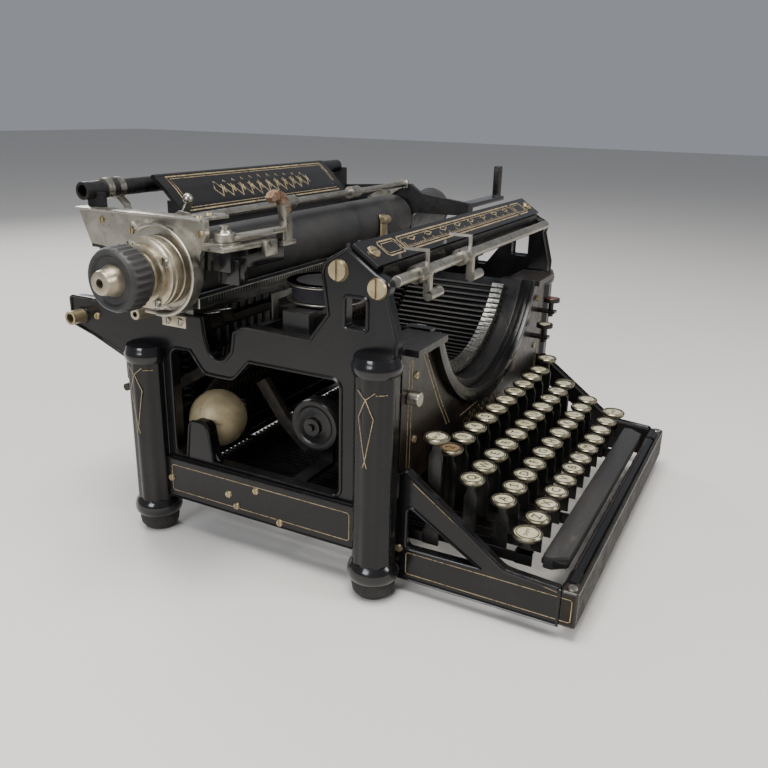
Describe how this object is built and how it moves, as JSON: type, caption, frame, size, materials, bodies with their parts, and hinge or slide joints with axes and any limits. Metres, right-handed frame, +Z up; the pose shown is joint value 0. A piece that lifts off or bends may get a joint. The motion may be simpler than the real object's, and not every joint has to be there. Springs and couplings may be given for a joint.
{
  "type": "typewriter",
  "caption": "Old desk typewriter with an open cast frame, round posts, curved type basket, sliding carriage, platen with knobs and tiered round keys.",
  "frame": {"origin": "centre of the four feet, on the surface it stands on", "axes": "+X to the operator's right along the carriage, -Y towards the operator, +Z up"},
  "size_m": [0.419, 0.3476, 0.2297],
  "materials": {
    "japan": "black japanned",
    "black_steel": "black enamel",
    "nickel": "worn nickel plate",
    "steel": "dull steel",
    "brass": "aged",
    "rubber": "hard",
    "ribbon": "wound inked ribbon on steel flanges",
    "key_ivory": "ringed ivory key tops on black steel levers",
    "hard_rubber": "black moulded grip",
    "red_key": "worn"
  },
  "bodies": {
    "machine_frame": {"left_side_frame": "japan", "right_side_frame": "japan", "rubber_feet": "rubber", "front_panel": "japan", "rear_beam": "japan", "base_tie_bars": "japan", "fulcrum_rod": "steel", "keyboard_side_left": "japan", "keyboard_side_right": "japan", "keyboard_front_bar": "japan", "scale_plate": "japan", "margin_rod": "nickel", "type_segment": "steel", "typebars": "steel", "type_rest": "black_steel", "ribbon_guide": "steel", "spool_brackets": "black_steel", "bell": "brass", "inner_brackets": "black_steel", "carriage_rails": "steel", "rear_tube": "brass", "brass_screws": "brass", "small_screws": "brass"},
    "left_stop": {"left_margin_stop": "nickel"},
    "right_stop": {"right_margin_stop": "nickel"},
    "ribbon_button": {"ribbon_button": "nickel"},
    "truck": {"carriage_truck": "black_steel", "carriage_rack": "steel"},
    "carriage": {"left_carriage_plate": "nickel", "right_carriage_plate": "black_steel", "scale_strip": "nickel", "carriage_tubes": "black_steel", "feed_rollers": "rubber", "paper_table": "black_steel"},
    "platen": {"platen": "rubber", "platen_shaft": "steel", "platen_ratchet": "steel", "line_space_hub": "nickel", "left_knob": "hard_rubber", "right_knob": "hard_rubber"},
    "bail": {"paper_bail": "nickel"},
    "return_lever": {"line_space_lever": "nickel"},
    "release_lever": {"release_arm": "black_steel"},
    "number_keys": {"number_row_keys": "key_ivory"},
    "upper_keys": {"upper_row_keys": "key_ivory"},
    "home_keys": {"home_row_keys": "key_ivory"},
    "lower_keys": {"lower_row_keys": "key_ivory"},
    "single_key": {"single_key": "key_ivory"},
    "centre_typebar": {"centre_typebar": "steel"},
    "left_shift": {"left_shift_key": "key_ivory"},
    "right_shift": {"right_shift_key": "key_ivory"},
    "back_space": {"back_space_key": "key_ivory"},
    "margin_release": {"margin_release_key": "key_ivory"},
    "tabulator": {"tabulator_key": "key_ivory"},
    "space_bar": {"space_bar": "black_steel"},
    "red_key": {"red_panel_key": "red_key"},
    "nickel_key": {"nickel_panel_key": "nickel"},
    "spring_drum": {"mainspring_drum": "black_steel"},
    "left_spool": {"left_ribbon_spool": "ribbon"},
    "right_spool": {"right_ribbon_spool": "ribbon"}
  },
  "joints": [
    {"name": "carriage_travel", "type": "slide", "parent": "machine_frame", "child": "truck", "axis": [1, 0, 0], "range_m": [-0.1, 0.1]},
    {"name": "carriage_shift", "type": "slide", "parent": "truck", "child": "carriage", "axis": [0, 0, 1], "range_m": [0, 0.006]},
    {"name": "platen_turn", "type": "hinge", "parent": "carriage", "child": "platen", "pos_m": [0, 0.034, 0.185], "axis": [1, 0, 0], "continuous": true},
    {"name": "bail_swing", "type": "hinge", "parent": "carriage", "child": "bail", "pos_m": [0, 0.055, 0.196], "axis": [1, 0, 0], "range_deg": [-40, 14]},
    {"name": "return_lever_swing", "type": "hinge", "parent": "carriage", "child": "return_lever", "pos_m": [-0.162, 0, 0.202], "axis": [0, 0, 1], "range_deg": [0, 12], "stiffness_Nm_per_rad": 0.1, "springref_deg": -17.19},
    {"name": "release_lever_press", "type": "hinge", "parent": "carriage", "child": "release_lever", "pos_m": [0.114, -0.022, 0.196], "axis": [0, 1, 0], "range_deg": [0, 6], "stiffness_Nm_per_rad": 0.5, "springref_deg": -11.46},
    {"name": "number_keys_press", "type": "hinge", "parent": "machine_frame", "child": "number_keys", "pos_m": [0, 0.062, 0.0335], "axis": [1, 0, 0], "range_deg": [0, 2.7], "stiffness_Nm_per_rad": 3, "springref_deg": -17.19},
    {"name": "upper_keys_press", "type": "hinge", "parent": "machine_frame", "child": "upper_keys", "pos_m": [0, 0.062, 0.0335], "axis": [1, 0, 0], "range_deg": [0, 2.7], "stiffness_Nm_per_rad": 3, "springref_deg": -17.19},
    {"name": "home_keys_press", "type": "hinge", "parent": "machine_frame", "child": "home_keys", "pos_m": [0, 0.062, 0.0335], "axis": [1, 0, 0], "range_deg": [0, 2.7], "stiffness_Nm_per_rad": 3, "springref_deg": -17.19},
    {"name": "lower_keys_press", "type": "hinge", "parent": "machine_frame", "child": "lower_keys", "pos_m": [0, 0.062, 0.0335], "axis": [1, 0, 0], "range_deg": [0, 2.7], "stiffness_Nm_per_rad": 3, "springref_deg": -17.19},
    {"name": "single_key_press", "type": "hinge", "parent": "machine_frame", "child": "single_key", "pos_m": [0, 0.062, 0.0335], "axis": [1, 0, 0], "range_deg": [0, 2.7], "stiffness_Nm_per_rad": 0.3, "springref_deg": -17.19},
    {"name": "typebar_strike", "type": "hinge", "parent": "machine_frame", "child": "centre_typebar", "pos_m": [0, 0.01, 0.099], "axis": [1, 0, 0], "range_deg": [-88, 0]},
    {"name": "left_shift_press", "type": "hinge", "parent": "machine_frame", "child": "left_shift", "pos_m": [0, 0.062, 0.0335], "axis": [1, 0, 0], "range_deg": [0, 2.7]},
    {"name": "right_shift_press", "type": "hinge", "parent": "machine_frame", "child": "right_shift", "pos_m": [0, 0.062, 0.0335], "axis": [1, 0, 0], "range_deg": [0, 2.7]},
    {"name": "back_space_press", "type": "hinge", "parent": "machine_frame", "child": "back_space", "pos_m": [0, 0.062, 0.0335], "axis": [1, 0, 0], "range_deg": [0, 2.7], "stiffness_Nm_per_rad": 0.3, "springref_deg": -17.19},
    {"name": "margin_release_press", "type": "hinge", "parent": "machine_frame", "child": "margin_release", "pos_m": [0, 0.062, 0.0335], "axis": [1, 0, 0], "range_deg": [0, 2.7], "stiffness_Nm_per_rad": 0.3, "springref_deg": -17.19},
    {"name": "tabulator_press", "type": "hinge", "parent": "machine_frame", "child": "tabulator", "pos_m": [0, 0.062, 0.0335], "axis": [1, 0, 0], "range_deg": [0, 2.7], "stiffness_Nm_per_rad": 0.3, "springref_deg": -17.19},
    {"name": "space_bar_press", "type": "hinge", "parent": "machine_frame", "child": "space_bar", "pos_m": [0, 0.062, 0.0335], "axis": [1, 0, 0], "range_deg": [0, 2.7], "stiffness_Nm_per_rad": 2, "springref_deg": -17.19},
    {"name": "red_key_press", "type": "slide", "parent": "machine_frame", "child": "red_key", "axis": [0, 0, 1], "range_m": [-0.004, 0], "stiffness_N_per_m": 300, "springref_m": 0.003},
    {"name": "nickel_key_press", "type": "slide", "parent": "machine_frame", "child": "nickel_key", "axis": [0, 0, 1], "range_m": [-0.004, 0], "stiffness_N_per_m": 300, "springref_m": 0.003},
    {"name": "ribbon_button_slide", "type": "slide", "parent": "machine_frame", "child": "ribbon_button", "axis": [0, 0, 1], "range_m": [-0.008, 0.008]},
    {"name": "left_stop_slide", "type": "slide", "parent": "machine_frame", "child": "left_stop", "axis": [1, 0, 0], "range_m": [-0.018, 0.012]},
    {"name": "right_stop_slide", "type": "slide", "parent": "machine_frame", "child": "right_stop", "axis": [1, 0, 0], "range_m": [-0.015, 0.15]},
    {"name": "spring_drum_turn", "type": "hinge", "parent": "machine_frame", "child": "spring_drum", "pos_m": [-0.103, -0.021, 0.0815], "axis": [1, 0, 0], "range_deg": [-350, 350]},
    {"name": "left_spool_turn", "type": "hinge", "parent": "machine_frame", "child": "left_spool", "pos_m": [-0.098, -0.024, 0.165], "axis": [0, 0, 1], "continuous": true},
    {"name": "right_spool_turn", "type": "hinge", "parent": "machine_frame", "child": "right_spool", "pos_m": [0.098, -0.024, 0.165], "axis": [0, 0, 1], "continuous": true}
  ],
  "couplings": [
    {"joint": "typebar_strike", "follows": "single_key_press", "ratio": -32.576},
    {"joint": "left_shift_press", "follows": "carriage_shift", "rad_per_m": 7.8461},
    {"joint": "right_shift_press", "follows": "carriage_shift", "rad_per_m": 7.8461},
    {"joint": "spring_drum_turn", "follows": "carriage_travel", "rad_per_m": 58.8}
  ]
}
